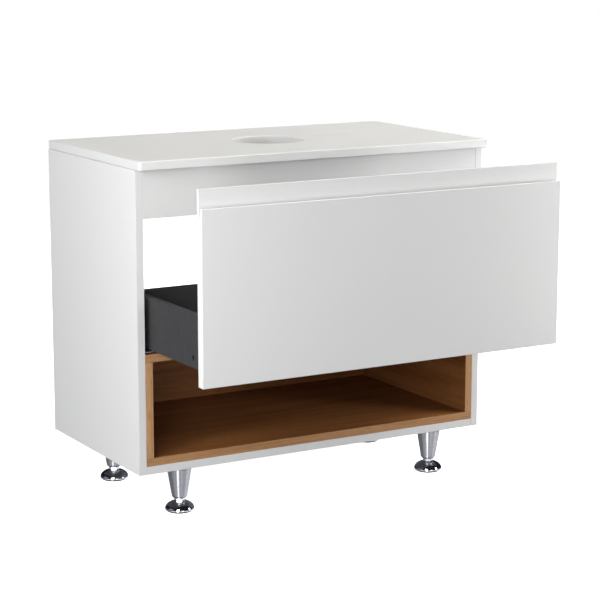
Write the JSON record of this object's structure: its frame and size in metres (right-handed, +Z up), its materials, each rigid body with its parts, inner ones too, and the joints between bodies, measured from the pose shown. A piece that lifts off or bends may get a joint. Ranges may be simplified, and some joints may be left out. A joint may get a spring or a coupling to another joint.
{
  "type": "vanity washstand",
  "caption": "White bathroom vanity for a countertop basin, on tapered chrome legs, with a wide metal-sided drawer over an oak niche.",
  "frame": {"origin": "on the floor, at the middle of the box that the washstand fills with its drawer pulled out 254 mm, as it stands at rest", "axes": "+Z up; the front faces -Y, and +X is to the right as seen from the front"},
  "size_m": [0.8, 0.693, 0.7115],
  "materials": {
    "white_lacquer": "white satin lacquer on board",
    "oak_decor": "matt oak decor with matching edge band",
    "anthracite_steel": "fine powder coat",
    "dark_board": "matt anthracite decor",
    "zinc_plated_steel": "zinc plated",
    "satin_chrome": "satin chrome",
    "bright_chrome": "polished chrome",
    "grey_plastic": "moulded"
  },
  "bodies": {
    "carcass": {"worktop": "white_lacquer", "left_side_panel": "white_lacquer", "right_side_panel": "white_lacquer", "bottom_panel": "white_lacquer", "front_rail": "white_lacquer", "rear_rail": "white_lacquer", "niche_floor": "oak_decor", "niche_ceiling": "oak_decor", "niche_left_wall": "oak_decor", "niche_right_wall": "oak_decor", "niche_back": "oak_decor", "front_left_worktop_bracket": "zinc_plated_steel", "front_right_worktop_bracket": "zinc_plated_steel", "back_left_worktop_bracket": "zinc_plated_steel", "back_right_worktop_bracket": "zinc_plated_steel", "left_wall_bracket": "zinc_plated_steel", "right_wall_bracket": "zinc_plated_steel", "front_left_leg_plate": "zinc_plated_steel", "front_right_leg_plate": "zinc_plated_steel", "back_left_leg_plate": "zinc_plated_steel", "back_right_leg_plate": "zinc_plated_steel", "front_left_leg": "satin_chrome", "front_right_leg": "satin_chrome", "back_left_leg": "satin_chrome", "back_right_leg": "satin_chrome", "left_cabinet_runner": "zinc_plated_steel", "right_cabinet_runner": "zinc_plated_steel", "left_soft_close_damper": "grey_plastic", "right_soft_close_damper": "grey_plastic", "left_runner_screw_front": "zinc_plated_steel", "left_runner_screw_rear": "zinc_plated_steel", "right_runner_screw_front": "zinc_plated_steel", "right_runner_screw_rear": "zinc_plated_steel"},
    "drawer": {"drawer_front": "white_lacquer", "drawer_bottom": "dark_board", "drawer_back": "dark_board", "left_drawer_side": "anthracite_steel", "left_front_bracket": "zinc_plated_steel", "left_back_bracket": "zinc_plated_steel", "left_bracket_screw_lower": "zinc_plated_steel", "left_bracket_screw_upper": "zinc_plated_steel", "left_drawer_runner": "zinc_plated_steel", "right_drawer_side": "anthracite_steel", "right_front_bracket": "zinc_plated_steel", "right_back_bracket": "zinc_plated_steel", "right_bracket_screw_lower": "zinc_plated_steel", "right_bracket_screw_upper": "zinc_plated_steel", "right_drawer_runner": "zinc_plated_steel"},
    "left_runner_middle": {"left_middle_runner": "zinc_plated_steel"},
    "right_runner_middle": {"right_middle_runner": "zinc_plated_steel"},
    "front_left_screw": {"front_left_foot_stud": "zinc_plated_steel"},
    "front_left_levelling_foot": {"front_left_foot": "bright_chrome"},
    "front_right_screw": {"front_right_foot_stud": "zinc_plated_steel"},
    "front_right_levelling_foot": {"front_right_foot": "bright_chrome"},
    "back_left_screw": {"back_left_foot_stud": "zinc_plated_steel"},
    "back_left_levelling_foot": {"back_left_foot": "bright_chrome"},
    "back_right_screw": {"back_right_foot_stud": "zinc_plated_steel"},
    "back_right_levelling_foot": {"back_right_foot": "bright_chrome"}
  },
  "joints": [
    {"name": "drawer_slide", "type": "slide", "parent": "carcass", "child": "drawer", "axis": [0, -1, 0], "range_m": [-0.252, 0.086]},
    {"name": "left_runner_slide", "type": "slide", "parent": "carcass", "child": "left_runner_middle", "axis": [0, -1, 0], "range_m": [-0.126, 0.043]},
    {"name": "right_runner_slide", "type": "slide", "parent": "carcass", "child": "right_runner_middle", "axis": [0, -1, 0], "range_m": [-0.126, 0.043]},
    {"name": "front_left_foot_turn", "type": "hinge", "parent": "carcass", "child": "front_left_screw", "pos_m": [-0.297, -0.0395, 0.03], "axis": [0, 0, -1], "range_deg": [0, 3600]},
    {"name": "front_left_foot_travel", "type": "slide", "parent": "front_left_screw", "child": "front_left_levelling_foot", "axis": [0, 0, -1], "range_m": [0, 0.01501]},
    {"name": "front_right_foot_turn", "type": "hinge", "parent": "carcass", "child": "front_right_screw", "pos_m": [0.297, -0.0395, 0.03], "axis": [0, 0, -1], "range_deg": [0, 3600]},
    {"name": "front_right_foot_travel", "type": "slide", "parent": "front_right_screw", "child": "front_right_levelling_foot", "axis": [0, 0, -1], "range_m": [0, 0.01501]},
    {"name": "back_left_foot_turn", "type": "hinge", "parent": "carcass", "child": "back_left_screw", "pos_m": [-0.314, 0.2355, 0.03], "axis": [0, 0, -1], "range_deg": [0, 3600]},
    {"name": "back_left_foot_travel", "type": "slide", "parent": "back_left_screw", "child": "back_left_levelling_foot", "axis": [0, 0, -1], "range_m": [0, 0.01501]},
    {"name": "back_right_foot_turn", "type": "hinge", "parent": "carcass", "child": "back_right_screw", "pos_m": [0.314, 0.2355, 0.03], "axis": [0, 0, -1], "range_deg": [0, 3600]},
    {"name": "back_right_foot_travel", "type": "slide", "parent": "back_right_screw", "child": "back_right_levelling_foot", "axis": [0, 0, -1], "range_m": [0, 0.01501]}
  ],
  "couplings": [
    {"joint": "left_runner_slide", "follows": "drawer_slide", "ratio": 0.5},
    {"joint": "right_runner_slide", "follows": "drawer_slide", "ratio": 0.5},
    {"joint": "front_left_foot_travel", "follows": "front_left_foot_turn", "m_per_rad": 0.00023873},
    {"joint": "front_right_foot_travel", "follows": "front_right_foot_turn", "m_per_rad": 0.00023873},
    {"joint": "back_left_foot_travel", "follows": "back_left_foot_turn", "m_per_rad": 0.00023873},
    {"joint": "back_right_foot_travel", "follows": "back_right_foot_turn", "m_per_rad": 0.00023873}
  ]
}
